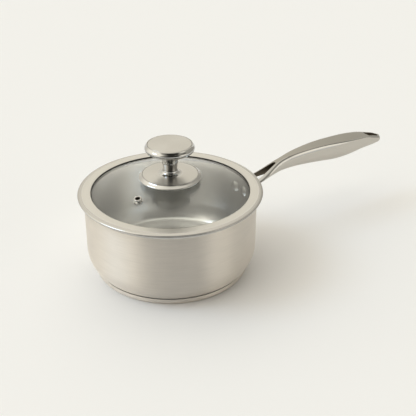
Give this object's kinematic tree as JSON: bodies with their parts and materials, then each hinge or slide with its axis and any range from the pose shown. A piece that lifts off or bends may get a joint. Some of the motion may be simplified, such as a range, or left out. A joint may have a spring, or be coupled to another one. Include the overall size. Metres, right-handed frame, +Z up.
{
  "type": "saucepan with glass lid",
  "caption": "Drawn steel saucepan with a forked cast handle, a disc base and a lift-off domed glass lid with a steam vent and turned knob.",
  "frame": {"origin": "centre of the base's underside, where the pan stands", "axes": "+X along the handle, away from the pan; +Z up through the lid's knob; +Y to the left when looking along the handle"},
  "size_m": [0.3602, 0.1754, 0.1282],
  "materials": {
    "brushed_steel": "satin, fine brush lines around the wall",
    "handle_steel": "satin with polished bevels",
    "knob_satin": "satin, spun",
    "polished_steel": "mirror polished",
    "core_aluminium": "matt",
    "lid_glass": "clear, slightly grey green",
    "soft_seal": "matt",
    "insert_brass": "machined"
  },
  "bodies": {
    "pan": {"pan_body": "brushed_steel", "base_core": "core_aluminium", "base_cap": "brushed_steel", "handle": "handle_steel", "handle_rivets": "polished_steel"},
    "lid": {"lid_glass": "lid_glass", "lid_band": "brushed_steel", "band_seal": "soft_seal", "vent_eyelet": "polished_steel", "vent_ring": "polished_steel", "knob_head": "polished_steel", "knob_plate": "knob_satin", "knob_collar": "polished_steel", "knob_foot": "polished_steel", "skirt_shell": "polished_steel", "skirt_plate": "knob_satin", "knob_insert": "insert_brass", "knob_screw": "polished_steel", "screw_washer": "polished_steel", "upper_gasket": "soft_seal", "lower_gasket": "soft_seal", "glass_bush": "soft_seal"}
  },
  "joints": [
    {"name": "lid_lift", "type": "slide", "parent": "pan", "child": "lid", "axis": [0, 0, 1], "range_m": [0, 0.1]}
  ]
}
